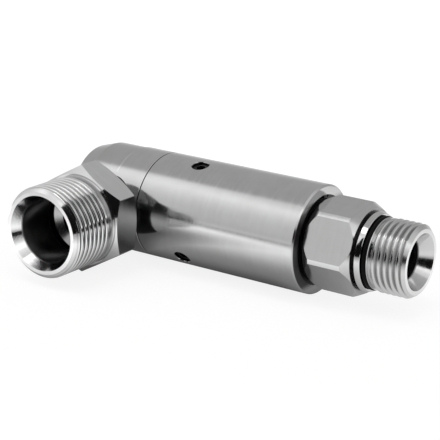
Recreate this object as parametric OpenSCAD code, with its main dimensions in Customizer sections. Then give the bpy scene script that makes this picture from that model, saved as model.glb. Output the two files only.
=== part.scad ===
// Right-angle swivel joint for hydraulic lines.
// A turned barrel and elbow head carry a hollow shaft on two ball bearings.
// The shaft ends in a hexagon and a parallel pipe thread, and turns without
// limit in the barrel. The inlet is a hexagon adapter screwed into the head.
// Lengths are millimetres. X runs along the shaft towards the outlet, the
// inlet points to -Y and Z is up. The origin is on the shaft's axis where the
// outlet thread's full diameter ends.

/* [Housing] */
// Outside diameter of the barrel and of the elbow head
barrel_d = 31.5; // [30:0.5:45]
// Length of the barrel from the joint line to its nose
barrel_len = 53.5; // [48:0.1:90]
// Length of the head's spigot inside the barrel
spigot_len = 20; // [19:0.5:24]
// Metal between the inlet port and the joint line
seam_land = 1; // [0.5:0.1:4]
// Metal between the inlet port and the closed end
head_cover = 4.3; // [3:0.1:8]
// Length of the bevel at the closed end
head_bevel_len = 5.4; // [1:0.1:7]
// Height of the bevel at the closed end
head_bevel_h = 1.8; // [0.5:0.1:4]
// Length of the full-size band of the head beside the joint line
head_band = 10.4; // [4:0.1:12]
// Step down behind that band
head_step = 0.2; // [0.05:0.05:0.5]
// Bevel round the barrel's nose
nose_bevel = 0.5; // [0.2:0.1:1.5]
// Depth of the inlet port below the head's surface
port_depth = 8.2; // [7:0.1:9]

/* [Bearings] */
// Bore of each ball bearing
bearing_bore = 15; // [14:0.5:20]
// Outside diameter of each ball bearing
bearing_od = 24; // [22:0.5:30]
// Width of each ball bearing
bearing_w = 5; // [4:0.5:8]
// Ball diameter
ball_d = 2.381; // [1.5:0.001:2.5]
// Balls in each bearing
ball_count = 14; // [8:1:16]
// Shim between the spigot and the rear bearing
shim_t = 0.4; // [0.1:0.1:1]

/* [Seals] */
// Radial section of the pressure seal
seal_section = 2.5; // [2:0.1:3.5]
// Length of the pressure seal
seal_w = 6; // [4:0.5:7]
// Width of the back-up ring
backup_w = 1.5; // [1:0.1:2.5]
// Width of the bronze gland bush
gland_w = 2.4; // [2:0.1:4]
// Width of the guide strip on the shaft's tail
guide_w = 3.5; // [2:0.1:4]
// Radial thickness of the guide strip
guide_t = 1.25; // [0.8:0.05:1.6]
// Cord diameter of the two static O-rings in the housing
static_cord_d = 1.6; // [1:0.1:2]
// Radial section of the dust wiper
wiper_section = 4.1; // [1.5:0.1:4.5]
// Width of the dust wiper
wiper_w = 2.7; // [2:0.1:4]

/* [Inlet] */
// Major diameter of the inlet pipe thread
inlet_thread_d = 26.441; // [20:0.001:33.249]
// Pitch of both pipe threads
thread_pitch = 1.814; // [1.337:0.001:2.309]
// Length of the inlet thread with the plain collar behind it
inlet_thread_len = 16.7; // [12:0.1:22]
// Length of that collar
inlet_collar_len = 2.2; // [1:0.1:4]
// Flats of the inlet hexagon
inlet_af = 28; // [27:1:36]
// Length of the inlet hexagon
inlet_hex_len = 9.5; // [7:0.1:14]
// Gap between the inlet hexagon and the head
neck_gap = 3.15; // [1:0.05:6]
// Diameter of the adapter's tail, which fills the port
tail_d = 20; // [19:0.5:24]
// Bore at the inlet mouth
inlet_bore_d = 18.4; // [15:0.1:20]
// Depth of that bore from the mouth
inlet_bore_depth = 16.8; // [8:0.1:22]
// Bore through the adapter's tail and across the head
cross_bore_d = 14; // [10:0.5:15]
// Wide end of the inlet's sealing cone
inlet_cone_d = 21.8; // [19:0.1:22]

/* [Outlet] */
// Major diameter of the outlet pipe thread
outlet_thread_d = 20.955; // [16.662:0.001:26.441]
// Length of the outlet thread
outlet_thread_len = 10.7; // [8:0.1:18]
// Flats of the outlet hexagon
outlet_af = 24; // [22:1:32]
// Diameter to which the outlet hexagon's corners are turned
outlet_corner_d = 26.94; // [24:0.02:37]
// Length of the outlet hexagon
outlet_hex_len = 14.8; // [8:0.1:18]
// Gap between the barrel's nose and the hexagon
nose_gap = 0.9; // [0.5:0.1:3]
// Bore through the shaft
flow_d = 11.5; // [8:0.1:12]
// Wide end of the outlet's sealing cone
outlet_cone_d = 16; // [14:0.1:17]
// Width of the groove between the hexagon and the back-up washer
hex_groove_w = 0.8; // [0.4:0.1:2]
// Angle at which the shaft stands at rest
shaft_turn = -20.8; // [-30:0.1:30]
// Thickness of the back-up washer
washer_t = 1.6; // [1:0.1:2.5]
// Outside diameter of that washer
washer_d = 22.6; // [22:0.1:28]
// Cord diameter of the outlet O-ring
outlet_cord_d = 1.6; // [1.2:0.1:2.4]

/* [Locking screws] */
// Thread diameter of each screw that locks the barrel on the spigot
grub_d = 5; // [4:0.5:6]
// Number of locking screws
grub_count = 3; // [2:1:4]
// Distance from the joint line to the screws
grub_reach = 14; // [10:0.1:15]
// Depth of the locking groove in the spigot
lock_depth = 1.2; // [0.6:0.1:1.4]
// Angle of the first screw from the top, away from the viewer
grub_turn = 12.5; // [-60:0.5:60]

/* [Fits] */
// Radial clearance of a running or sealing face on the shaft
running_fit = 0.04; // [0.02:0.01:0.08]
// Radial clearance of a seated ring or sleeve
seat_fit = 0.01; // [0:0.005:0.03]
// Clearance of a ball in its races and pocket
ball_fit = 0.03; // [0.02:0.01:0.06]
// Free gap between turned parts that pass without touching
free_gap = 0.25; // [0.2:0.05:0.5]

/* [Hidden] */
$fn = 96;

steel = [0.74, 0.74, 0.75];
bright_steel = [0.84, 0.84, 0.86];
race_steel = [0.62, 0.63, 0.66];
black_steel = [0.13, 0.13, 0.14];
brass = [0.80, 0.66, 0.34];
black_rubber = [0.07, 0.07, 0.07];
white_ptfe = [0.90, 0.90, 0.86];

barrel_r = barrel_d / 2;
tail_r = tail_d / 2;
flow_r = flow_d / 2;
cross_r = cross_bore_d / 2;
fine_bevel = 0.1;
seam_bevel = 0.3;
seam_groove_w = 0.15;
seam_groove_h = 0.7;
band_groove = 0.2;
inlet_hex_slope = 30;
outlet_hex_slope = 60;
cone_angle = 30;
thread_depth = 0.640327 * thread_pitch;

seam_x = tail_r + seam_land;
head_back = tail_r + head_cover;
spigot_end = seam_x + spigot_len;
nose_x = seam_x + barrel_len;
spigot_step = 0.5;
spigot_r = bearing_od / 2 + spigot_step;

seat_r = bearing_bore / 2;
race_r = bearing_od / 2;
pitch_r = (seat_r + race_r) / 2;
ball_r = ball_d / 2;
race_land = 0.64 * ball_r;
inner_land_r = pitch_r - race_land;
outer_land_r = pitch_r + race_land;
journal_r = inner_land_r - 0.1;

wiper_clip_t = 1;
nose_land = 0.7;
lip_t = 4.5;
wiper_r = journal_r + wiper_section;
clip_groove_h = 0.7;
wiper_clip_x = nose_x - nose_land - wiper_clip_t;
wiper_x = wiper_clip_x - wiper_w;
front_race_x = wiper_x - lip_t - bearing_w;
rear_race_x = spigot_end + shim_t;
spacer_len = front_race_x - rear_race_x - bearing_w;

shaft_clip_t = 1.2;
shaft_clip_depth = 0.45;
shaft_clip_h = 1.6;
gland_r = seat_r + seal_section;
gland_setback = 1.6;
gland_x = spigot_end - gland_setback - gland_w;
backup_x = gland_x - backup_w;
seal_x = backup_x - seal_w;
guide_land = 1.2;
guide_x = seal_x - guide_land - guide_w;
tail_x = guide_x - guide_land;
chamber_gap = 0.4;
chamber_x = tail_x - chamber_gap;
tail_bore_r = seat_r + 0.15;
strip_slit = 1.2;

static_cord_r = static_cord_d / 2;
static_groove_w = static_cord_d + 0.4;
body_ring_x = seam_x + 2.6 + static_groove_w / 2;
body_ring_r = spigot_r + running_fit - static_cord_r;
port_floor = barrel_r - port_depth;
adapter_ring_y = port_floor + 1.3 + static_groove_w / 2;
adapter_ring_r = tail_r + running_fit - static_cord_r;

inlet_hex_y = barrel_r + neck_gap;
inlet_thread_y = inlet_hex_y + inlet_hex_len;
inlet_reach = inlet_thread_y + inlet_thread_len;
inlet_thread_r = inlet_thread_d / 2;
inlet_collar_r = inlet_thread_r - 0.25;
inlet_bore_r = inlet_bore_d / 2;
inlet_cone_r = inlet_cone_d / 2;
inlet_cone_len = (inlet_cone_r - inlet_bore_r) / tan(cone_angle);
inlet_step_len = (inlet_bore_r - cross_r) / tan(60);
inlet_step_y = inlet_reach - inlet_bore_depth - inlet_step_len;
inlet_shoulder_r = inlet_af / 2 - 0.4;

outlet_hex_x = nose_x + nose_gap;
collar_x = outlet_hex_x + outlet_hex_len;
washer_x = collar_x + hex_groove_w;
outlet_cord_r = outlet_cord_d / 2;
outlet_thread_r = outlet_thread_d / 2;
outlet_undercut_r = outlet_thread_r - thread_depth - 0.12;
collar_r = outlet_undercut_r + 0.35;
ring_seat_r = outlet_undercut_r - 0.34;
ring_seat_x = washer_x + washer_t;
ring_seat_end = ring_seat_x + outlet_cord_d;
ring_land_r = outlet_thread_r - 0.3;
ring_land_w = 0.25;
outlet_undercut_w = 0.35;
outlet_thread_x = ring_seat_end + ring_land_w + outlet_undercut_w;
outlet_reach = outlet_thread_x + outlet_thread_len;
outlet_cone_r = outlet_cone_d / 2;
outlet_cone_len = (outlet_cone_r - flow_r) / tan(cone_angle);
lead_bevel = 1.3;

grub_x = seam_x + grub_reach;
grub_r = grub_d / 2;
grub_tip_r = grub_r / 2;
grub_recess = 0.85;
grub_bevel_h = 0.4;
groove_floor_r = spigot_r - lock_depth;
hex_key = grub_d / 2;

// A solid turned about the shaft's axis from [radius, station] points
module turned_x(points) {
    rotate([0, 90, 0]) rotate_extrude() polygon(points);
}

// A solid turned about the inlet's axis, stations counted towards the inlet
module turned_inlet(points) {
    rotate([90, 0, 0]) rotate_extrude() polygon(points);
}

// A plain ring or sleeve round the shaft's axis
module sleeve(x, w, r_in, r_out, bevel = 0) {
    turned_x([
        [r_in, x], [r_out - bevel, x], [r_out, x + bevel],
        [r_out, x + w - bevel], [r_out - bevel, x + w], [r_in, x + w]
    ]);
}

// An O-ring round the shaft's axis
module o_ring(x, ring_r, cord_r) {
    translate([x, 0, 0]) rotate([0, 90, 0]) rotate_extrude()
        translate([ring_r, 0]) circle(r = cord_r, $fn = 32);
}

// The whole joint is drawn about the crossing of its passages, then set
// with the outer end of the outlet thread at the origin
module placed() {
    translate([lead_bevel - outlet_reach, 0, 0]) children();
}

// A hexagon with corners turned to corner_r, both ends bevelled down to end_r
// at a slope counted from the end face
module turned_hex(af, corner_r, z, len, end_r, slope) {
    run = (corner_r - end_r) * tan(slope);
    intersection() {
        translate([0, 0, z]) cylinder(r = af / 2 / cos(30), h = len, $fn = 6);
        rotate_extrude() polygon([
            [0, z], [end_r, z], [corner_r, z + run],
            [corner_r, z + len - run], [end_r, z + len], [0, z + len]
        ]);
    }
}

// The locking screws' places round the barrel
module round_grubs() {
    for (i = [0 : grub_count - 1]) {
        translate([grub_x, 0, 0])
            rotate([grub_turn + i * 360 / grub_count, 0, 0]) children();
    }
}

module barrel() {
    pilot_r = spigot_r + seat_fit;
    color(steel) placed() difference() {
        turned_x([
            [pilot_r, seam_x], [barrel_r - fine_bevel, seam_x],
            [barrel_r, seam_x + fine_bevel], [barrel_r, nose_x - nose_bevel],
            [barrel_r - nose_bevel, nose_x], [wiper_r, nose_x],
            [wiper_r, nose_x - nose_land],
            [wiper_r + clip_groove_h, nose_x - nose_land],
            [wiper_r + clip_groove_h, wiper_clip_x], [wiper_r, wiper_clip_x],
            [wiper_r, wiper_x], [journal_r + free_gap, wiper_x],
            [journal_r + free_gap, front_race_x + bearing_w],
            [race_r, front_race_x + bearing_w], [race_r, spigot_end],
            [pilot_r, spigot_end]
        ]);
        round_grubs() cylinder(r = grub_r, h = barrel_r + 1, $fn = 48);
        round_grubs() translate([0, 0, barrel_r - grub_bevel_h])
            cylinder(r1 = grub_r, r2 = grub_r + 0.4, h = 2 * grub_bevel_h, $fn = 48);
    }
}

module elbow_head() {
    band_x = seam_x - head_band;
    rim_x = seam_x - seam_groove_w;
    low_r = barrel_r - head_step;
    tip_r = barrel_r - head_bevel_h;
    groove_r = body_ring_r - static_cord_r;
    half_floor = grub_tip_r + 0.1;
    color(steel) placed() difference() {
        turned_x([
            [0, -head_back], [tip_r, -head_back],
            [low_r, head_bevel_len - head_back], [low_r, band_x - band_groove],
            [low_r - band_groove, band_x], [barrel_r, band_x + band_groove],
            [barrel_r, rim_x - seam_bevel], [barrel_r - seam_bevel, rim_x],
            [barrel_r - seam_groove_h, rim_x], [barrel_r - seam_groove_h, seam_x],
            [spigot_r, seam_x],
            [spigot_r, body_ring_x - static_groove_w / 2],
            [groove_r, body_ring_x - static_groove_w / 2],
            [groove_r, body_ring_x + static_groove_w / 2],
            [spigot_r, body_ring_x + static_groove_w / 2],
            [spigot_r, grub_x - half_floor - lock_depth],
            [groove_floor_r, grub_x - half_floor],
            [groove_floor_r, grub_x + half_floor],
            [spigot_r, grub_x + half_floor + lock_depth],
            [spigot_r, spigot_end], [gland_r, spigot_end],
            [gland_r, seal_x], [tail_bore_r, seal_x],
            [tail_bore_r, guide_x + guide_w],
            [seat_r + guide_t, guide_x + guide_w], [seat_r + guide_t, guide_x],
            [tail_bore_r, guide_x], [tail_bore_r, chamber_x],
            [flow_r, chamber_x], [flow_r, 0], [0, 0]
        ]);
        // Inlet port, cross passage and its drill point
        turned_inlet([
            [0, -cross_r - 2], [cross_r, 2 - cross_r], [cross_r, port_floor],
            [tail_r, port_floor], [tail_r, barrel_r + 1], [0, barrel_r + 1]
        ]);
    }
}

module inlet_adapter() {
    mouth_r = inlet_thread_r - lead_bevel;
    collar_y = inlet_thread_y + inlet_collar_len;
    groove_r = adapter_ring_r - static_cord_r;
    low_y = adapter_ring_y - static_groove_w / 2;
    high_y = adapter_ring_y + static_groove_w / 2;
    tail_face_r = tail_r - seat_fit;
    color(bright_steel) placed() difference() {
        union() {
            turned_inlet([
                [0, port_floor], [tail_face_r, port_floor], [tail_face_r, low_y],
                [groove_r, low_y], [groove_r, high_y], [tail_face_r, high_y],
                [tail_face_r, inlet_hex_y + 1], [0, inlet_hex_y + 1]
            ]);
            rotate([90, 0, 0]) rotate([0, 0, 30]) turned_hex(
                inlet_af, inlet_af / 2 / cos(30) - 0.1, inlet_hex_y,
                inlet_hex_len, inlet_shoulder_r, inlet_hex_slope
            );
            turned_inlet([
                [0, inlet_thread_y - 1], [inlet_collar_r, inlet_thread_y - 1],
                [inlet_collar_r, collar_y],
                [inlet_thread_r, collar_y + inlet_thread_r - inlet_collar_r],
                [inlet_thread_r, inlet_reach - lead_bevel],
                [mouth_r, inlet_reach], [0, inlet_reach]
            ]);
        }
        turned_inlet([
            [0, port_floor - 1], [cross_r, port_floor - 1],
            [cross_r, inlet_step_y],
            [inlet_bore_r, inlet_step_y + inlet_step_len],
            [inlet_bore_r, inlet_reach - inlet_cone_len],
            [inlet_cone_r, inlet_reach], [inlet_cone_r, inlet_reach + 1],
            [0, inlet_reach + 1]
        ]);
    }
}

module adapter_seal_ring() {
    color(black_rubber) placed() translate([0, -adapter_ring_y, 0])
        rotate([90, 0, 0]) rotate_extrude()
            translate([adapter_ring_r - running_fit / 2, 0])
                circle(r = static_cord_r - running_fit / 2, $fn = 32);
}

module body_seal_ring() {
    color(black_rubber) placed()
        o_ring(body_ring_x, body_ring_r - running_fit / 2,
            static_cord_r - running_fit / 2);
}

// Cup-point grub screws with hexagon sockets
module grub_screws() {
    tip_z = groove_floor_r + running_fit;
    cone_h = grub_r - grub_tip_r;
    top_z = barrel_r - grub_recess;
    screw_r = grub_r - seat_fit;
    color(black_steel) placed() round_grubs() difference() {
        union() {
            translate([0, 0, tip_z])
                cylinder(r1 = grub_tip_r, r2 = screw_r, h = cone_h, $fn = 48);
            translate([0, 0, tip_z + cone_h])
                cylinder(r = screw_r, h = top_z - tip_z - cone_h, $fn = 48);
        }
        translate([0, 0, top_z - 1.6])
            cylinder(r = hex_key / 2 / cos(30), h = 2, $fn = 6);
    }
}

module bearing_shim() {
    color(bright_steel) placed()
        sleeve(spigot_end, shim_t, outer_land_r, race_r - seat_fit);
}

// Outer race of one bearing, with its ball groove
module outer_race(x) {
    color(race_steel) placed() difference() {
        sleeve(x, bearing_w, outer_land_r, race_r - seat_fit, 0.25);
        o_ring(x + bearing_w / 2, pitch_r, ball_r + ball_fit);
    }
}

// Inner race of one bearing, with its ball groove
module inner_race(x) {
    color(race_steel) placed() difference() {
        sleeve(x, bearing_w, seat_r + seat_fit, inner_land_r);
        o_ring(x + bearing_w / 2, pitch_r, ball_r + ball_fit);
    }
}

// The ring of balls of one bearing
module ball_ring(x) {
    color(bright_steel) placed() for (i = [0 : ball_count - 1]) {
        rotate([i * 360 / ball_count, 0, 0])
            translate([x + bearing_w / 2, 0, pitch_r]) sphere(r = ball_r, $fn = 48);
    }
}

// The cage that keeps one bearing's balls apart
module ball_cage(x) {
    wall = 0.4;
    width = bearing_w - 1.6;
    color(brass) placed() difference() {
        sleeve(x + (bearing_w - width) / 2, width, pitch_r - wall, pitch_r + wall);
        for (i = [0 : ball_count - 1]) {
            rotate([i * 360 / ball_count, 0, 0])
                translate([x + bearing_w / 2, 0, pitch_r - 2 * wall])
                    cylinder(r = ball_r + ball_fit, h = 4 * wall, $fn = 32);
        }
    }
}

module rear_outer_race() { outer_race(rear_race_x); }
module front_outer_race() { outer_race(front_race_x); }
module rear_inner_race() { inner_race(rear_race_x); }
module front_inner_race() { inner_race(front_race_x); }
module rear_balls() { ball_ring(rear_race_x); }
module front_balls() { ball_ring(front_race_x); }
module rear_cage() { ball_cage(rear_race_x); }
module front_cage() { ball_cage(front_race_x); }

module outer_spacer() {
    color(steel) placed()
        sleeve(rear_race_x + bearing_w, spacer_len, outer_land_r, race_r - seat_fit);
}

module inner_spacer() {
    color(steel) placed()
        sleeve(rear_race_x + bearing_w, spacer_len, seat_r + seat_fit, journal_r);
}

// Cup seal, open towards the passage, with two lips round its energiser
module pressure_seal() {
    inner_r = seat_r + running_fit;
    outer_r = gland_r - seat_fit;
    mid_r = (inner_r + outer_r) / 2;
    cup_r = 0.7;
    cup_x = seal_x + 1.6;
    color(black_rubber) placed() turned_x([
        [inner_r, seal_x + 0.5], [inner_r + 0.3, seal_x],
        [mid_r - cup_r, seal_x], [mid_r - cup_r, cup_x + cup_r],
        [mid_r + cup_r, cup_x + cup_r], [mid_r + cup_r, seal_x],
        [outer_r - 0.3, seal_x], [outer_r, seal_x + 0.5],
        [outer_r, backup_x], [inner_r, backup_x]
    ]);
}

module seal_energiser() {
    inner_r = seat_r + running_fit;
    outer_r = gland_r - seat_fit;
    color([0.45, 0.20, 0.12]) placed()
        o_ring(seal_x + 1.6, (inner_r + outer_r) / 2, 0.69);
}

module backup_ring() {
    color(white_ptfe) placed()
        sleeve(backup_x, backup_w, seat_r + running_fit, gland_r - seat_fit);
}

module gland_bush() {
    color(brass) placed()
        sleeve(gland_x, gland_w, seat_r + running_fit, gland_r - seat_fit, 0.3);
}

// Split strip that guides the shaft's tail
module tail_guide_strip() {
    color(white_ptfe) placed() difference() {
        sleeve(guide_x + seat_fit, guide_w - 2 * seat_fit,
            seat_r + running_fit, seat_r + guide_t - seat_fit);
        translate([guide_x - 1, -strip_slit / 2, 0])
            cube([guide_w + 2, strip_slit, barrel_r]);
    }
}

module dust_wiper() {
    lip_h = 0.8;
    inner_r = journal_r + running_fit;
    color(black_rubber) placed() turned_x([
        [inner_r + lip_h, wiper_x], [wiper_r - seat_fit, wiper_x],
        [wiper_r - seat_fit, wiper_clip_x], [inner_r + lip_h, wiper_clip_x],
        [inner_r, wiper_clip_x - 0.3], [inner_r, wiper_clip_x - 0.9]
    ]);
}

// Internal retaining ring with its gap and two plier holes
module wiper_clip() {
    in_r = wiper_r - 1.3;
    ear_r = 0.5;
    ear_turn = 16;
    color(black_steel) placed() difference() {
        sleeve(wiper_clip_x + seat_fit, wiper_clip_t - 2 * seat_fit, in_r,
            wiper_r + clip_groove_h - seat_fit);
        translate([wiper_clip_x - 1, -1.5, 0])
            cube([wiper_clip_t + 2, 3, barrel_r]);
        for (side = [-1, 1]) {
            rotate([side * ear_turn, 0, 0])
                translate([wiper_clip_x - 1, 0, in_r + 0.9]) rotate([0, 90, 0])
                    cylinder(r = ear_r, h = wiper_clip_t + 2, $fn = 24);
        }
    }
}

module outlet_shaft() {
    clip_x = rear_race_x - shaft_clip_t;
    clip_r = seat_r - shaft_clip_depth;
    shoulder_x = front_race_x + bearing_w;
    mouth_r = outlet_thread_r - lead_bevel;
    color(bright_steel) placed() rotate([shaft_turn, 0, 0]) difference() {
        union() {
            turned_x([
                [0, tail_x], [seat_r - 0.4, tail_x], [seat_r, tail_x + 0.8],
                [seat_r, clip_x], [clip_r, clip_x], [clip_r, rear_race_x],
                [seat_r, rear_race_x], [seat_r, shoulder_x],
                [journal_r, shoulder_x], [journal_r, outlet_hex_x + 1],
                [0, outlet_hex_x + 1]
            ]);
            rotate([0, 90, 0]) turned_hex(
                outlet_af, outlet_corner_d / 2, outlet_hex_x, outlet_hex_len,
                outlet_af / 2 + 0.05, outlet_hex_slope
            );
            turned_x([
                [0, collar_x - 1], [collar_r, collar_x - 1], [collar_r, washer_x],
                [outlet_undercut_r, washer_x], [outlet_undercut_r, ring_seat_x],
                [ring_seat_r, ring_seat_x], [ring_seat_r, ring_seat_end],
                [ring_land_r, ring_seat_end],
                [ring_land_r, ring_seat_end + ring_land_w],
                [outlet_undercut_r, ring_seat_end + ring_land_w],
                [outlet_undercut_r, outlet_thread_x],
                [outlet_thread_r, outlet_thread_x + thread_depth],
                [outlet_thread_r, outlet_reach - lead_bevel],
                [mouth_r, outlet_reach], [0, outlet_reach]
            ]);
        }
        turned_x([
            [0, tail_x - 1], [flow_r, tail_x - 1],
            [flow_r, outlet_reach - outlet_cone_len],
            [outlet_cone_r, outlet_reach], [outlet_cone_r, outlet_reach + 1],
            [0, outlet_reach + 1]
        ]);
    }
}

// External retaining ring that holds the inner races on the shaft
module shaft_clip() {
    in_r = seat_r - shaft_clip_depth + seat_fit;
    color(race_steel) placed() rotate([shaft_turn, 0, 0]) difference() {
        sleeve(rear_race_x - shaft_clip_t + seat_fit, shaft_clip_t - seat_fit,
            in_r, seat_r + shaft_clip_h);
        translate([rear_race_x - 3, -2, 0]) cube([6, 4, barrel_r]);
    }
}

module outlet_washer() {
    color(bright_steel) placed()
        sleeve(washer_x, washer_t, outlet_undercut_r + seat_fit, washer_d / 2, 0.3);
}

module outlet_o_ring() {
    color(black_rubber) placed()
        o_ring(ring_seat_x + outlet_cord_r, ring_seat_r + outlet_cord_r,
            outlet_cord_r - seat_fit);
}

barrel();
elbow_head();
inlet_adapter();
adapter_seal_ring();
body_seal_ring();
grub_screws();
bearing_shim();
rear_outer_race();
outer_spacer();
front_outer_race();
pressure_seal();
seal_energiser();
backup_ring();
gland_bush();
tail_guide_strip();
dust_wiper();
wiper_clip();
outlet_shaft();
rear_inner_race();
inner_spacer();
front_inner_race();
shaft_clip();
outlet_washer();
outlet_o_ring();
rear_balls();
rear_cage();
front_balls();
front_cage();
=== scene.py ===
"""Right-angle swivel joint in turned stainless steel, photographed on a white table."""

import math

import bmesh
import bpy
from mathutils import Matrix, Vector


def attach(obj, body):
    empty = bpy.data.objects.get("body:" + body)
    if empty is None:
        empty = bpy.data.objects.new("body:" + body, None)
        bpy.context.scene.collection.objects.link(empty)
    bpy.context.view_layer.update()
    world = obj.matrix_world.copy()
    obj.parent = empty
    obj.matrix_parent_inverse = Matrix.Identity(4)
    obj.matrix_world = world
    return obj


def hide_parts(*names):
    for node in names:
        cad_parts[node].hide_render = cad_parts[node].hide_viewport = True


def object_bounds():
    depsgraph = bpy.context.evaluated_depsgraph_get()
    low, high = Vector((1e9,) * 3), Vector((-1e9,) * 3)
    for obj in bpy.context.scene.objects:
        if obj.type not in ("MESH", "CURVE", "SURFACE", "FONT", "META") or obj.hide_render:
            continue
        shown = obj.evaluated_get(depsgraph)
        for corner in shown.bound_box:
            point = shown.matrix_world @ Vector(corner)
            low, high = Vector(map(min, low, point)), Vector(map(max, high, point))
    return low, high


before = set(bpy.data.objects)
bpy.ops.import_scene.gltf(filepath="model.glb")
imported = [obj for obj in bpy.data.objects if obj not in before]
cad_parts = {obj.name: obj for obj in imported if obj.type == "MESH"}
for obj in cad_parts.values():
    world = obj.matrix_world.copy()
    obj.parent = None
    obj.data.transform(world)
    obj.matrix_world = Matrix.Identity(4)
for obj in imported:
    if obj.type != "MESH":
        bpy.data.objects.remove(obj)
cad_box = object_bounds()
scene = bpy.context.scene
scene.view_settings.view_transform = "Standard"

# Camera
# It stands to the right of the inlet and a little above the joint, with a long
# lens, and leans by a degree and a half, as the photograph does.
camera_azimuth = math.radians(33.7954)
camera_elevation = math.radians(17.4714)
camera_roll = math.radians(-1.5672)
camera_place = Vector((0.169865, -0.349650, 0.131374))
level_right = Vector((math.cos(camera_azimuth), math.sin(camera_azimuth), 0))
camera_back = Vector(
    (
        math.sin(camera_azimuth) * math.cos(camera_elevation),
        -math.cos(camera_azimuth) * math.cos(camera_elevation),
        math.sin(camera_elevation),
    )
)
level_up = camera_back.cross(level_right)
camera_right = level_right * math.cos(camera_roll) - level_up * math.sin(camera_roll)
camera_up = level_right * math.sin(camera_roll) + level_up * math.cos(camera_roll)
camera = bpy.data.objects.new("camera", bpy.data.cameras.new("camera"))
camera.data.sensor_width = 36
camera.data.lens = 123.357
camera.data.clip_start = 0.01
camera.data.clip_end = 20
camera_axes = Matrix((camera_right, camera_up, camera_back)).transposed()
camera.matrix_world = Matrix.Translation(camera_place) @ camera_axes.to_4x4()
scene.collection.objects.link(camera)
scene.camera = camera


# Studio light
# A white tent with a broad soft light above the front, grey cloth behind, and the
# dark of the room where the camera looks in. The camera sees plain white.
class Wire:
    """A number, vector or colour on its way through a node tree. Sums on it add Math nodes."""

    def __init__(self, tree, socket=None):
        self.tree = tree
        self.socket = socket

    def node(self, kind, settings=None, inputs=None, output=0):
        """Adds any node: its settings first, then the values or links of its sockets."""
        made = self.tree.nodes.new(kind)
        for name, value in (settings or {}).items():
            if name == "stops":
                points = made.color_ramp.elements
                while len(points) < len(value):
                    points.new(0.5)
                for point, (place, grey) in zip(points, value):
                    point.position = place
                    point.color = (grey, grey, grey, 1)
            else:
                setattr(made, name, value)
        for key, value in (inputs or {}).items():
            if isinstance(value, Wire):
                self.tree.links.new(value.socket, made.inputs[key])
            else:
                made.inputs[key].default_value = value
        return Wire(self.tree, made.outputs[output] if len(made.outputs) else None)

    def math(self, operation, *values):
        """Adds one Math node, with this number as its first."""
        sockets = dict(enumerate((self,) + values))
        return self.node("ShaderNodeMath", {"operation": operation}, sockets)

    def __add__(self, other):
        return self.math("ADD", other)

    __radd__ = __add__

    def __mul__(self, other):
        return self.math("MULTIPLY", other)

    __rmul__ = __mul__

    def __sub__(self, other):
        return self.math("SUBTRACT", other)

    def __rsub__(self, other):
        return self.math("MULTIPLY", -1).math("ADD", other)

    def __truediv__(self, other):
        return self.math("DIVIDE", other)

    def rise(self, low, high):
        """Goes from 0 at low to 1 at high, with soft ends."""
        return self.node(
            "ShaderNodeMapRange",
            {"interpolation_type": "SMOOTHSTEP"},
            {"Value": self, "From Min": low, "From Max": high},
        )

    def steps(self, stops):
        """Reads the number off a line through the stops."""
        return self.node("ShaderNodeValToRGB", {"stops": stops}, {"Fac": self})

    def parts(self, output):
        """One of the three numbers of a vector."""
        return self.node("ShaderNodeSeparateXYZ", inputs={0: self}, output=output)

    def mix(self, first, second):
        """The first colour where this share is 0, and the second where it is 1."""
        return self.node(
            "ShaderNodeMix",
            {"data_type": "RGBA"},
            {"Factor": self, "A": first, "B": second},
            output="Result",
        )

    def bumps(self):
        """The normals of a surface that is raised by this height in metres."""
        return self.node(
            "ShaderNodeBump", inputs={"Height": self, "Distance": 1.0, "Strength": 1.0}
        )


lamp_brightness = 3.0
room_brightness = 0.012
room_bearing = math.radians(41)
world = bpy.data.worlds.new("white_tent")
world.use_nodes = True
world.node_tree.nodes.clear()
tent = Wire(world.node_tree)
towards = tent.node("ShaderNodeTexCoord", output="Generated")
across = towards.parts(0)
away = towards.parts(1)
height = towards.parts(2)
round_angle = across.math("ARCTAN2", away * -1)
raised = (height + 1) * 0.5
front_left = raised.steps(
    [
        (0.40, 0.30), (0.49, 0.34), (0.53, 0.29), (0.60, 0.31), (0.70, 0.33),
        (0.775, 0.38), (0.83, 0.45), (0.875, 0.53), (0.90, 0.49), (0.92, 0.38), (1.00, 0.36),
    ]
)
front_right = raised.steps(
    [
        (0.40, 0.36), (0.60, 0.26), (0.70, 0.34), (0.775, 0.60), (0.83, 0.66), (0.88, 0.46),
        (0.955, 0.40), (1.00, 0.42),
    ]
)
behind = raised.steps(
    [(0.40, 0.38), (0.50, 0.33), (0.56, 0.24), (0.65, 0.21), (1.00, 0.21)]
)
right_side = across.rise(-0.10, 0.35)
front_light = front_left + (front_right - front_left) * right_side
back_light = behind + across.rise(0.3, 0.7) * height.rise(0.3, 0.6) * 0.12
front_share = (away * -1 - (height - 0.62) * 0.5).rise(-0.06, 0.10)
lamp_share = height.rise(0.86, 0.95) * across.rise(-0.50, -0.36) * across.rise(0.34, 0.22)
top_lamp = front_share * lamp_share * lamp_brightness
tent_light = (back_light + (front_light - back_light) * front_share) * 2 + top_lamp
room_sides = (round_angle - room_bearing).math("ABSOLUTE").rise(0.84, 0.80)
room_dark = room_sides * height.rise(0.02, -0.02)
seen_light = tent_light + (room_brightness - tent_light) * room_dark
to_camera = tent.node("ShaderNodeLightPath", output="Is Camera Ray")
reflected = tent.node("ShaderNodeBackground", inputs={"Color": seen_light, "Strength": 1.0})
plain_white = tent.node("ShaderNodeBackground", inputs={"Color": (1, 1, 1, 1), "Strength": 1.0})
tent_mix = tent.node("ShaderNodeMixShader", inputs={0: to_camera, 1: reflected, 2: plain_white})
tent.node("ShaderNodeOutputWorld", inputs={"Surface": tent_mix})
scene.world = world


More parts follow.
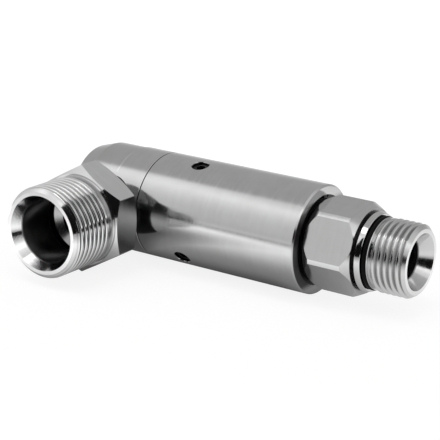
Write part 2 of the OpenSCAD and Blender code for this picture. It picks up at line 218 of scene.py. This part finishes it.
# Dark room
# Behind the camera the tent is open to the unlit room. Its edge is a wall round the
# inlet, given by its bearing and the height at which the tent begins. The wall is a
# near-black sheet, a painted shade that stands in for the room: the metal mirrors it
# and the camera sees through it.
def new_material(name):
    """An empty material and the wire that its nodes hang on."""
    made = bpy.data.materials.new(name)
    made.use_nodes = True
    made.node_tree.nodes.clear()
    return made, Wire(made.node_tree)


table_height = cad_box[0][2] - 0.0001
room_distance = 0.47
room_middle = Vector((-0.082, -0.045))
room_edge = (
    (-8, 20), (0, 28), (12, 43), (22, 50), (36, 52), (44, 49),
    (50, 40), (56, 30), (64, 22), (72, 14), (80, 9), (88, 3),
)
room_black, room_nodes = new_material("room_black")
# Painted shade: a near-black sheet for the unlit room.
painted_room_shade = room_nodes.node("ShaderNodeBsdfDiffuse", inputs={"Color": (0.01, 0.01, 0.01, 1)})
room_see_through = room_nodes.node("ShaderNodeBsdfTransparent")
room_to_camera = room_nodes.node("ShaderNodeLightPath", output="Is Camera Ray")
room_mix = room_nodes.node(
    "ShaderNodeMixShader", inputs={0: room_to_camera, 1: painted_room_shade, 2: room_see_through}
)
room_nodes.node("ShaderNodeOutputMaterial", inputs={"Surface": room_mix})
room_points = []
for bearing, rise in room_edge:
    room_x = room_middle.x + room_distance * math.sin(math.radians(bearing))
    room_y = room_middle.y - room_distance * math.cos(math.radians(bearing))
    room_points.append((room_x, room_y, table_height))
    room_points.append((room_x, room_y, room_distance * math.tan(math.radians(rise))))
room_mesh = bpy.data.meshes.new("dark_room")
room_mesh.from_pydata(
    room_points,
    [],
    [(i, i + 2, i + 3, i + 1) for i in range(0, len(room_points) - 2, 2)],
)
room_mesh.materials.append(room_black)
dark_room = bpy.data.objects.new("dark_room", room_mesh)
scene.collection.objects.link(dark_room)

# White table
# A matt white sheet that ends a little in front of the joint. The camera sees it
# as white with the joint's faint shadow, which a glow that is less near the joint
# paints a little darker. The metal sees a glow in its place, painted light with a
# painted shadow near the barrel and the inlet, which keep the light off it, and
# painted shade towards the dark room and far from the joint.
table_left, table_right = -0.50, 0.40
table_front, table_back = -0.26, 0.55
barrel_middle, barrel_half = -0.075, 0.030
inlet_centre, inlet_half = -0.0942, 0.012
shade_reach = 0.15
room_heading = (0.656, -0.755)
table_white, sheet = new_material("table_white")
sheet_matt = sheet.node("ShaderNodeBsdfDiffuse", inputs={"Color": (0.86, 0.86, 0.86, 1)})
sheet_shade = sheet.node("ShaderNodeBsdfDiffuse", inputs={"Color": (0.22, 0.22, 0.22, 1)})
sheet_place = sheet.node("ShaderNodeTexCoord", output="Object")
sheet_along = sheet_place.parts(0)
sheet_across = sheet_place.parts(1)
past_barrel = (sheet_along - barrel_middle).math("ABSOLUTE") - barrel_half
beside_barrel = past_barrel.math("MAXIMUM", 0.0) * 0.7
from_barrel = (beside_barrel * beside_barrel + sheet_across * sheet_across).math("SQRT")
beside_inlet = (sheet_along - inlet_centre).math("ABSOLUTE")
past_inlet = (sheet_across + inlet_half).math("ABSOLUTE") - inlet_half
before_inlet = past_inlet.math("MAXIMUM", 0.0)
from_inlet = (beside_inlet * beside_inlet + before_inlet * before_inlet).math("SQRT")
from_joint = from_barrel.math("MINIMUM", from_inlet)
# Painted shade: the glow the camera sees is less near the joint.
sheet_glow = sheet.node(
    "ShaderNodeEmission",
    inputs={"Color": from_joint.rise(0.06, 0.16) * 0.14 + 0.86, "Strength": 1.0},
)
sheet_seen = sheet.node("ShaderNodeAddShader", inputs={0: sheet_shade, 1: sheet_glow})
# Painted shadow: the sheet as the metal sees it is dim near the joint, brightest a little away
# from it and dimmer far off.
open_share = (from_joint / shade_reach).steps(
    [
        (0.000, 0.06), (0.045, 0.075), (0.056, 0.10), (0.069, 0.135), (0.083, 0.18),
        (0.100, 0.215), (0.120, 0.26), (0.147, 0.36), (0.187, 0.54), (0.253, 0.73),
        (0.333, 0.92), (0.400, 1.00), (0.500, 0.90), (0.667, 0.66), (1.000, 0.46),
    ]
)
# Painted shade towards the dark room.
towards_room = sheet_along * room_heading[0] + sheet_across * room_heading[1]
sheet_light = open_share * (1 - towards_room.rise(-0.03, 0.05) * 0.28)
painted_sheet_glow = sheet.node(
    "ShaderNodeEmission", inputs={"Color": sheet_light, "Strength": 1.3}
)
sheet_to_metal = sheet.node("ShaderNodeLightPath", output="Is Glossy Ray")
sheet_to_camera = sheet.node("ShaderNodeLightPath", output="Is Camera Ray")
sheet_to_others = sheet.node(
    "ShaderNodeMixShader", inputs={0: sheet_to_metal, 1: sheet_matt, 2: painted_sheet_glow}
)
sheet_mix = sheet.node(
    "ShaderNodeMixShader", inputs={0: sheet_to_camera, 1: sheet_to_others, 2: sheet_seen}
)
sheet.node("ShaderNodeOutputMaterial", inputs={"Surface": sheet_mix})
table_mesh = bpy.data.meshes.new("white_table")
table_mesh.from_pydata(
    [
        (table_left, table_front, table_height),
        (table_right, table_front, table_height),
        (table_right, table_back, table_height),
        (table_left, table_back, table_height),
    ],
    [],
    [(0, 1, 2, 3)],
)
table_mesh.materials.append(table_white)
table = bpy.data.objects.new("white_table", table_mesh)
scene.collection.objects.link(table)


# Barrel
# The long outer sleeve, turned from stainless bar and finished in the lathe, so
# its fine marks run round it. Three screws lock it on the head.
def turned_steel(
    name, grey, roughness, marks, along=(1, 0, 0), centre=(0, 0, 0),
    seam_and_shade=None, rubbed_and_highlit=None, ridged=None,
):
    """Bright stainless steel with turning marks round the direction along.

    The last three arguments take the radius, the station and the place of a point. They
    give the share of painted shade and dark seams, which are also rougher, of metal
    rubbed bright along an edge and painted brighter as a highlight, and of coarse ridges
    left by the tool.
    """
    fine_stretch = [4200 if part else 26 for part in along]
    soft_stretch = [1300 if part else 50 for part in along]
    cloud_stretch = [120, 120, 120]
    ridge_pitch = 0.00034
    ridge_height = 3.2e-6
    # The dark of painted shade and of dark seams, and the bright of rubbed edges with a painted
    # highlight.
    seam_and_shade_dark = (0.03, 0.03, 0.031, 1)
    rubbed_highlight_bright = (0.95, 0.95, 0.955, 1)
    made, wire = new_material(name)
    place = wire.node("ShaderNodeTexCoord", output="Object")
    moved = wire.node(
        "ShaderNodeMapping", inputs={"Vector": place, "Location": [-part for part in centre]}
    )

    def marks_at(scales, detail):
        scaled = wire.node(
            "ShaderNodeVectorMath", {"operation": "MULTIPLY"}, {0: moved, 1: scales}
        )
        return wire.node(
            "ShaderNodeTexNoise",
            inputs={"Vector": scaled, "Scale": 1.0, "Detail": detail, "Roughness": 0.6},
        )

    fine = marks_at(fine_stretch, 2.0)
    soft = marks_at(soft_stretch, 3.0)
    cloud = marks_at(cloud_stretch, 2.0)
    paler = cloud.rise(0.35, 0.65) * 0.6 + soft.rise(0.35, 0.65) * 0.4
    tone = paler.mix(
        (grey * 0.96, grey * 0.96, grey * 0.955, 1), (grey * 1.03, grey * 1.03, grey * 1.035, 1)
    )
    rough = soft.rise(0.35, 0.65) * (roughness * 0.4) + roughness * 0.8
    station = wire.node(
        "ShaderNodeVectorMath", {"operation": "DOT_PRODUCT"}, {0: moved, 1: along}, output=1
    )
    arm = wire.node("ShaderNodeVectorMath", {"operation": "CROSS_PRODUCT"}, {0: moved, 1: along})
    radius = wire.node("ShaderNodeVectorMath", {"operation": "LENGTH"}, {0: arm}, output=1)
    # Rubbed edges, painted brighter as a highlight.
    if rubbed_and_highlit:
        tone = rubbed_and_highlit(radius, station, moved).mix(tone, rubbed_highlight_bright)
    # Painted shade and dark seams: a darker tone and rougher metal.
    if seam_and_shade:
        seam_and_shade_share = seam_and_shade(radius, station, moved)
        tone = seam_and_shade_share.mix(tone, seam_and_shade_dark)
        rough = rough + seam_and_shade_share * 0.25
    relief = fine * (marks * 0.45) + soft * marks
    if ridged:
        ridge_turns = station / ridge_pitch + soft * 0.6
        ridges = (ridge_turns * (2 * math.pi)).math("SINE") * ridge_height
        relief = relief + ridges * ridged(radius, station, moved)
    steel = wire.node(
        "ShaderNodeBsdfPrincipled",
        inputs={
            "Base Color": tone,
            "Metallic": 1.0,
            "Roughness": rough,
            "Normal": relief.bumps(),
        },
    )
    wire.node("ShaderNodeOutputMaterial", inputs={"Surface": steel})
    return made


def finish_nodes(material, *names):
    """Gives carried-over pieces their material."""
    for name in names:
        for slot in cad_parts[name].material_slots:
            slot.material = material


barrel_nose = -0.0299
barrel_seam = -0.0830
screw_station = -0.0692


def barrel_seam_and_shade(radius, station, place):
    """Painted shade on the end face, less towards its top and bottom, and in the screw holes,
    with the seam as a dark joint; all are rougher.
    """
    up = place.parts(2)
    shaded = up.rise(0.0125, 0.0095) * up.rise(-0.0135, -0.0110)
    # Painted shade on the end face and on the walls of the screw holes.
    painted_end_shade = station.rise(barrel_nose, barrel_nose + 0.00015) * radius.rise(0.01550, 0.01535)
    seam = station.rise(barrel_seam + 0.0002, barrel_seam) * radius.rise(0.01568, 0.01562)
    by_screws = (station - screw_station).math("ABSOLUTE").rise(0.0045, 0.0040)
    hole_shade = by_screws * radius.rise(0.01560, 0.01550)
    return painted_end_shade * shaded * 0.85 + seam + hole_shade


barrel_steel = turned_steel("barrel_steel", 0.70, 0.15, 2.2e-6, seam_and_shade=barrel_seam_and_shade)
finish_nodes(barrel_steel, "barrel")


# Elbow head
# The closed end of the joint, turned with the barrel as one cylinder, with the
# inlet port across it.
def dull_head(radius, station, place):
    """The inner side of the seam."""
    return station.rise(-0.0836, -0.0835) * radius.rise(0.01569, 0.01563)


head_steel = turned_steel("head_steel", 0.70, 0.16, 1.8e-6, seam_and_shade=dull_head)
finish_nodes(head_steel, "elbow_head")


# Inlet adapter
# Hexagon, male pipe thread and sealing cone, turned in one piece from bright bar
# and screwed into the head. The thread is a true helix with rounded crests.
def thread_tree():
    """The geometry nodes of one pipe thread along +X, from its run-out to its lead bevel.

    A flat grid has its rows along the helix, turn after turn, and its columns round the
    axis. Each point gets its station and the radius of the thread's section there.
    """
    flank_angle = math.radians(27.5)
    turn_weld = 2e-6
    tree = bpy.data.node_groups.new("pipe_thread", "GeometryNodeTree")
    sockets = tree.interface
    for name, kind in (
        ("Start", "Float"), ("End", "Float"), ("Pitch", "Float"), ("Crest Radius", "Float"),
        ("Root Radius", "Float"), ("Start Radius", "Float"), ("End Radius", "Float"),
        ("Run-out Slope", "Float"), ("Crest Offset", "Float"), ("Crest Width", "Float"),
        ("Crest Rounding", "Float"), ("Root Rounding", "Float"), ("Turns", "Int"),
        ("Rows per Turn", "Int"), ("Columns", "Int"), ("Material", "Material"),
    ):
        sockets.new_socket(name, in_out="INPUT", socket_type="NodeSocket" + kind)
    sockets.new_socket("Mesh", in_out="OUTPUT", socket_type="NodeSocketGeometry")
    given = tree.nodes.new("NodeGroupInput")
    cut = {socket.name: Wire(tree, socket) for socket in given.outputs if socket.name}
    rows = cut["Turns"] * cut["Rows per Turn"] + 1
    cutting = Wire(tree)
    grid = cutting.node(
        "GeometryNodeMeshGrid",
        inputs={
            "Size X": 1.0, "Size Y": 1.0, "Vertices X": rows, "Vertices Y": cut["Columns"] + 1,
        },
    )
    spot = cutting.node("GeometryNodeInputPosition")
    share = spot.parts(1) + 0.5
    wound = (spot.parts(0) + 0.5) * cut["Turns"] - 1 + share
    free_station = wound * cut["Pitch"] + cut["Start"]
    station = free_station.math("MAXIMUM", cut["Start"]).math("MINIMUM", cut["End"])
    phase = (station - cut["Crest Offset"]) / cut["Pitch"] - share
    off_crest = ((phase + 0.5).math("FRACT") - 0.5).math("ABSOLUTE") * cut["Pitch"]
    middle = (cut["Crest Radius"] + cut["Root Radius"]) * 0.5
    off_flank = off_crest - cut["Pitch"] * 0.25 - cut["Crest Width"]
    flank = middle - off_flank / math.tan(flank_angle)
    topped = flank.math("SMOOTH_MIN", cut["Crest Radius"], cut["Crest Rounding"])
    rooted = topped.math("SMOOTH_MAX", cut["Root Radius"], cut["Root Rounding"])
    run_out = cut["Start Radius"] + (station - cut["Start"]) * cut["Run-out Slope"]
    lead = cut["End Radius"] + (cut["End"] - station)
    fade = cut["Start Radius"] - (station - cut["Start"]) * cut["Run-out Slope"]
    radius = rooted.math("MINIMUM", run_out).math("MINIMUM", lead).math("MAXIMUM", fade)
    turn = share * (2 * math.pi)
    wrapped = cutting.node(
        "ShaderNodeCombineXYZ",
        inputs={0: station, 1: radius * turn.math("COSINE"), 2: radius * turn.math("SINE")},
    )
    shaped = cutting.node(
        "GeometryNodeSetPosition", inputs={"Geometry": grid, "Position": wrapped}
    )
    welded = cutting.node(
        "GeometryNodeMergeByDistance", inputs={"Geometry": shaped, "Distance": turn_weld}
    )
    real = cutting.node("GeometryNodeRealizeInstances", inputs={0: welded})
    dressed = cutting.node(
        "GeometryNodeSetMaterial", inputs={"Geometry": real, "Material": cut["Material"]}
    )
    cutting.node("NodeGroupOutput", inputs={0: dressed})
    return tree


def cut_thread(name, sizes, to_place):
    """Runs the thread's nodes once and returns the result as a plain mesh in its place."""
    holder = bpy.data.objects.new(name, bpy.data.meshes.new(name))
    scene.collection.objects.link(holder)
    winding = holder.modifiers.new("thread", "NODES")
    winding.node_group = pipe_thread
    for item in pipe_thread.interface.items_tree:
        if item.in_out == "INPUT":
            winding[item.identifier] = sizes[item.name]
    bpy.context.view_layer.update()
    evaluated = holder.evaluated_get(bpy.context.evaluated_depsgraph_get())
    made = bpy.data.meshes.new_from_object(evaluated)
    holder.modifiers.remove(winding)
    bpy.data.objects.remove(holder)
    made.transform(to_place)
    return made


def threaded_piece(name, node, thread, on_thread, middle, axis, material):
    """Copies a node's mesh and welds the thread in where the node has a plain band.

    on_thread says whether a point is on that band. The axis goes through middle.
    """
    node_weld, rim_weld = 1e-6, 1e-7
    thread_crease, other_crease = 1.2, 0.35
    past_any_turn = 9
    seam_offset = 0.01
    built = bmesh.new()
    built.from_mesh(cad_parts[node].data)
    bmesh.ops.remove_doubles(built, verts=built.verts, dist=node_weld)
    plain_band = [f for f in built.faces if on_thread(f.calc_center_median())]
    bmesh.ops.delete(built, geom=plain_band, context="FACES")
    old_rims = [e for e in built.edges if e.is_boundary]
    old_edges, old_faces = set(built.edges), set(built.faces)
    built.from_mesh(thread)
    new_faces = set(built.faces) - old_faces
    new_rims = [e for e in built.edges if e.is_boundary and e not in old_edges]
    level = axis.orthogonal().normalized()
    side = (level + axis.cross(level) * seam_offset).normalized()
    other = axis.cross(side)

    def turn_of(vertex):
        """The angle of a vertex round the axis, counted from a line that meets no vertex."""
        arm = vertex.co - middle
        return math.atan2(arm.dot(other), arm.dot(side))

    def rings(edges):
        """The two rings of a set of rim edges, the nearer one first, each in turning order."""
        stations = {v: (v.co - middle).dot(axis) for e in edges for v in e.verts}
        halfway = (min(stations.values()) + max(stations.values())) / 2
        near = sorted((v for v in stations if stations[v] < halfway), key=turn_of)
        far = sorted((v for v in stations if stations[v] >= halfway), key=turn_of)
        return near, far

    def next_turn(ring, place):
        """The angle of the vertex after this one in its ring."""
        return turn_of(ring[place + 1]) if place + 1 < len(ring) else past_any_turn + place

    for inner, outer in zip(rings(old_rims), rings(new_rims)):
        here, there = 0, 0
        while here < len(inner) or there < len(outer):
            corners = [inner[here % len(inner)], outer[there % len(outer)]]
            inner_first = next_turn(inner, here) <= next_turn(outer, there)
            if there >= len(outer) or (here < len(inner) and inner_first):
                here += 1
                corners.append(inner[here % len(inner)])
            else:
                there += 1
                corners.append(outer[there % len(outer)])
            new_faces.add(built.faces.new(corners))
    bmesh.ops.remove_doubles(built, verts=built.verts, dist=rim_weld)
    bmesh.ops.recalc_face_normals(built, faces=built.faces)
    for face in built.faces:
        face.smooth = True
        face.material_index = 0
    for edge in built.edges:
        on_new = all(f in new_faces for f in edge.link_faces)
        crease = thread_crease if on_new else other_crease
        edge.smooth = len(edge.link_faces) == 2 and edge.calc_face_angle(0) < crease
    mesh = bpy.data.meshes.new(name)
    built.to_mesh(mesh)
    built.free()
    mesh.materials.clear()
    mesh.materials.append(material)
    piece = bpy.data.objects.new(name, mesh)
    scene.collection.objects.link(piece)
    return piece


pipe_thread = thread_tree()
pipe_pitch = 0.001814
rim_margin = 1e-5
inlet_start, inlet_end = 0.0306, 0.0451
inlet_band_floor = 0.0114
hexagon_back = -0.0189
bevel_slope, bevel_offset = 1.739, 0.01927


def adapter_painted_shade(radius, station, place):
    """Painted shade, rougher too: in the bore, the roots and neck of the thread, on the flat
    beside the barrel, and on all behind the hexagon; the roots and all behind get less of it
    towards the top.
    """
    up = place.parts(2)
    bore = radius.rise(0.00945, 0.00925) * (0.60 - station.rise(-0.0285, -0.0282) * 0.15)
    roots = radius.rise(0.01305, 0.0127) * radius.rise(0.0114, 0.0117) * 0.95
    thread_ends = station.rise(-0.0300, -0.0306) * station.rise(-0.0446, -0.0436)
    thread = roots * (1 - up.rise(0.0085, 0.0115) * 0.6) * thread_ends
    neck_ends = station.rise(-0.0308, -0.0304) * station.rise(-0.0284, -0.0287)
    neck = neck_ends * radius.rise(0.01312, 0.01305) * 0.42
    flat = place.parts(0).rise(0.01385, 0.01395) * station.rise(-0.0290, -0.0284) * 0.6
    # Less painted shade towards the top, where more light falls.
    upper = up.rise(0.0044, 0.0058)
    past_hexagon = station.rise(hexagon_back - 0.0002, hexagon_back - 0.0001)
    tail = past_hexagon * (radius.rise(0.0100, 0.0103) * 0.25 + 0.7)
    bevel = (radius + station * bevel_slope + bevel_offset).rise(-0.00012, -0.00004)
    behind = tail * (1 - upper * 0.3) + bevel * (1 - upper * 0.26)
    return (bore + thread + neck + flat + behind).math("MINIMUM", 1.0)


def ridged_adapter(radius, station, place):
    """The sealing cone in the mouth, cut in one quick pass."""
    cone = radius.rise(0.00915, 0.00930) * radius.rise(0.01095, 0.01080)
    return cone * station.rise(-0.040, -0.0415)


adapter_steel = turned_steel(
    "adapter_steel", 0.86, 0.10, 1.0e-6, along=(0, 1, 0), centre=(inlet_centre, 0, 0),
    seam_and_shade=adapter_painted_shade, ridged=ridged_adapter,
)
to_inlet = Matrix(
    ((0, 0, -1, inlet_centre), (-1, 0, 0, 0), (0, 1, 0, 0), (0, 0, 0, 1))
)
inlet_thread = cut_thread(
    "inlet_thread",
    {
        "Start": inlet_start, "End": inlet_end, "Pitch": pipe_pitch,
        "Crest Radius": 0.0132205, "Root Radius": 0.0120589,
        "Start Radius": 0.0129705, "End Radius": 0.0119205, "Run-out Slope": 1.5,
        "Crest Offset": 0.0300, "Crest Width": 0.00022, "Crest Rounding": 0.00010,
        "Root Rounding": 0.00018, "Turns": 10, "Rows per Turn": 24, "Columns": 128,
        "Material": adapter_steel,
    },
    to_inlet,
)


def on_inlet_thread(point):
    """True for the plain band of the adapter that the inlet thread takes the place of."""
    out = math.hypot(point.x - inlet_centre, point.z)
    between = inlet_start + rim_margin < -point.y < inlet_end - rim_margin
    return between and out > inlet_band_floor


adapter = threaded_piece(
    "threaded_adapter", "inlet_adapter", inlet_thread, on_inlet_thread,
    Vector((inlet_centre, 0, 0)), Vector((0, -1, 0)), adapter_steel,
)
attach(adapter, "housing")
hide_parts("inlet_adapter")

# Locking screws
# Three headless screws with hexagon sockets, of dark hardened steel, set deep in
# the barrel's wall.
screw_steel = turned_steel("screw_steel", 0.06, 0.40, 1.5e-6)
finish_nodes(screw_steel, "grub_screws")

# Outlet shaft
# The turning piece: a hollow shaft with the outlet hexagon, a collar and the male
# pipe thread, turned from bright bar.
outlet_start, outlet_end = -0.0094, 0.0013
outlet_band_floor = 0.0088


def shaft_painted_shade(radius, station, place):
    """Painted shade, rougher too, in the bore, the roots of the thread and the groove behind the
    hexagon.
    """
    bore = radius.rise(0.0060, 0.0058) * 0.75
    roots = radius.rise(0.0101, 0.0095) * radius.rise(0.0087, 0.0090)
    thread_ends = station.rise(-0.0092, -0.0088) * station.rise(0.0008, 0.0000)
    groove = station.rise(-0.01405, -0.01395) * station.rise(-0.0125, -0.0126)
    return bore + roots * thread_ends * 0.3 + groove * 0.95


def shaft_wear_and_highlight(radius, station, place):
    """The turned-down corners of the hexagon, rubbed bright by spanners and painted brighter as a
    highlight along the edges.
    """
    return radius.rise(0.01343, 0.01346) * station.rise(-0.0292, -0.0285)


shaft_steel = turned_steel(
    "shaft_steel", 0.71, 0.15, 1.6e-6, seam_and_shade=shaft_painted_shade, rubbed_and_highlit=shaft_wear_and_highlight
)
outlet_thread = cut_thread(
    "outlet_thread",
    {
        "Start": outlet_start, "End": outlet_end, "Pitch": pipe_pitch,
        "Crest Radius": 0.0104775, "Root Radius": 0.0093159,
        "Start Radius": 0.0091959, "End Radius": 0.0091775, "Run-out Slope": 1.103,
        "Crest Offset": 0.0, "Crest Width": 0.00008, "Crest Rounding": 0.00100,
        "Root Rounding": 0.00018, "Turns": 7, "Rows per Turn": 32, "Columns": 112,
        "Material": shaft_steel,
    },
    Matrix.Identity(4),
)


def on_outlet_thread(point):
    """True for the plain band of the shaft that the outlet thread takes the place of."""
    out = math.hypot(point.y, point.z)
    between = outlet_start + rim_margin < point.x < outlet_end - rim_margin
    return between and out > outlet_band_floor


shaft = threaded_piece(
    "threaded_shaft", "outlet_shaft", outlet_thread, on_outlet_thread,
    Vector((0, 0, 0)), Vector((1, 0, 0)), shaft_steel,
)
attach(shaft, "shaft")
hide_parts("outlet_shaft")

# Outlet washer
# A turned washer that backs up the O-ring under the hexagon. Its side is crowned and
# tapers a little towards the O-ring, and its two edges are broken.
washer_steel = turned_steel("washer_steel", 0.74, 0.13, 0.8e-6)
washer_section = (
    (-0.01320, 0.009206), (-0.01320, 0.011180), (-0.01308, 0.011300), (-0.01260, 0.011215),
    (-0.01215, 0.011095), (-0.01172, 0.010940), (-0.01160, 0.010820), (-0.01160, 0.009206),
)
washer_sides = 160
washer_crease = 0.3
washer_corners = len(washer_section)
washer_points = []
washer_faces = []
for side in range(washer_sides):
    turn = 2 * math.pi * side / washer_sides
    here = side * washer_corners
    there = (side + 1) % washer_sides * washer_corners
    for corner, (station, radius) in enumerate(washer_section):
        following = (corner + 1) % washer_corners
        washer_points.append((station, radius * math.cos(turn), radius * math.sin(turn)))
        washer_faces.append((here + corner, here + following, there + following, there + corner))
washer_mesh = bpy.data.meshes.new("tapered_washer")
washer_mesh.from_pydata(washer_points, [], washer_faces)
washer_built = bmesh.new()
washer_built.from_mesh(washer_mesh)
bmesh.ops.recalc_face_normals(washer_built, faces=washer_built.faces)
for face in washer_built.faces:
    face.smooth = True
for edge in washer_built.edges:
    edge.smooth = edge.calc_face_angle(0) < washer_crease
washer_built.to_mesh(washer_mesh)
washer_built.free()
washer_mesh.materials.append(washer_steel)
washer = bpy.data.objects.new("tapered_washer", washer_mesh)
scene.collection.objects.link(washer)
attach(washer, "shaft")
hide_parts("outlet_washer")


# O-rings
# Black nitrile rubber: on the outlet, on the adapter's tail, on the head's spigot
# and inside the cup seal.
def seal_stuff(name, colour, roughness, grain, relief):
    """A moulded or cut seal material with a fine grain."""
    made, wire = new_material(name)
    place = wire.node("ShaderNodeTexCoord", output="Object")
    speck = wire.node(
        "ShaderNodeTexNoise", inputs={"Vector": place, "Scale": grain, "Detail": 3.0}
    )
    darker = [part * 0.85 for part in colour] + [1]
    lighter = [part * 1.15 for part in colour] + [1]
    stuff = wire.node(
        "ShaderNodeBsdfPrincipled",
        inputs={
            "Base Color": speck.rise(0.3, 0.7).mix(darker, lighter),
            "Roughness": speck.rise(0.2, 0.8) * 0.1 + roughness,
            "Specular IOR Level": 0.10,
            "Normal": (speck * relief).bumps(),
        },
    )
    wire.node("ShaderNodeOutputMaterial", inputs={"Surface": stuff})
    return made


ring_rubber = seal_stuff("ring_rubber", (0.004, 0.004, 0.004), 0.45, 1800, 4e-6)
finish_nodes(
    ring_rubber, "outlet_o_ring", "adapter_seal_ring", "body_seal_ring", "seal_energiser"
)

# Shaft seal and wiper
# The cup seal, its back-up ring and the guide strip are of filled white plastic, the
# wiper is of dark rubber, and each sits in its groove.
white_plastic = seal_stuff("white_plastic", (0.72, 0.72, 0.70), 0.40, 900, 2e-6)
finish_nodes(white_plastic, "pressure_seal", "backup_ring", "tail_guide_strip")
finish_nodes(ring_rubber, "dust_wiper")

# Gland bush and ball cages
# A turned bronze bush closes the seal's gland, and the cages that space the balls of
# the two bearings are of the same bronze.
bush_bronze, bush_wire = new_material("bush_bronze")
bush_place = bush_wire.node("ShaderNodeTexCoord", output="Object")
bush_scaled = bush_wire.node(
    "ShaderNodeVectorMath", {"operation": "MULTIPLY"}, {0: bush_place, 1: (3000, 40, 40)}
)
bush_marks = bush_wire.node(
    "ShaderNodeTexNoise", inputs={"Vector": bush_scaled, "Scale": 1.0, "Detail": 2.0}
)
bush_metal = bush_wire.node(
    "ShaderNodeBsdfPrincipled",
    inputs={
        "Base Color": bush_marks.rise(0.3, 0.7).mix((0.50, 0.30, 0.14, 1), (0.60, 0.38, 0.20, 1)),
        "Metallic": 1.0,
        "Roughness": bush_marks.rise(0.2, 0.8) * 0.08 + 0.28,
        "Normal": (bush_marks * 1.5e-6).bumps(),
    },
)
bush_wire.node("ShaderNodeOutputMaterial", inputs={"Surface": bush_metal})
finish_nodes(bush_bronze, "gland_bush", "rear_cage", "front_cage")

# Bearings
# Two ball bearings on the shaft: ground races and balls of hard steel, kept apart
# by two turned spacers, and held by a shim and two spring clips.
race_steel = turned_steel("race_steel", 0.64, 0.12, 0.6e-6)
spring_steel = turned_steel("spring_steel", 0.42, 0.30, 1.2e-6)
finish_nodes(race_steel, "rear_outer_race", "rear_inner_race", "rear_balls")
finish_nodes(race_steel, "front_outer_race", "front_inner_race", "front_balls")
finish_nodes(barrel_steel, "outer_spacer", "inner_spacer")
finish_nodes(spring_steel, "bearing_shim", "shaft_clip")
finish_nodes(screw_steel, "wiper_clip")
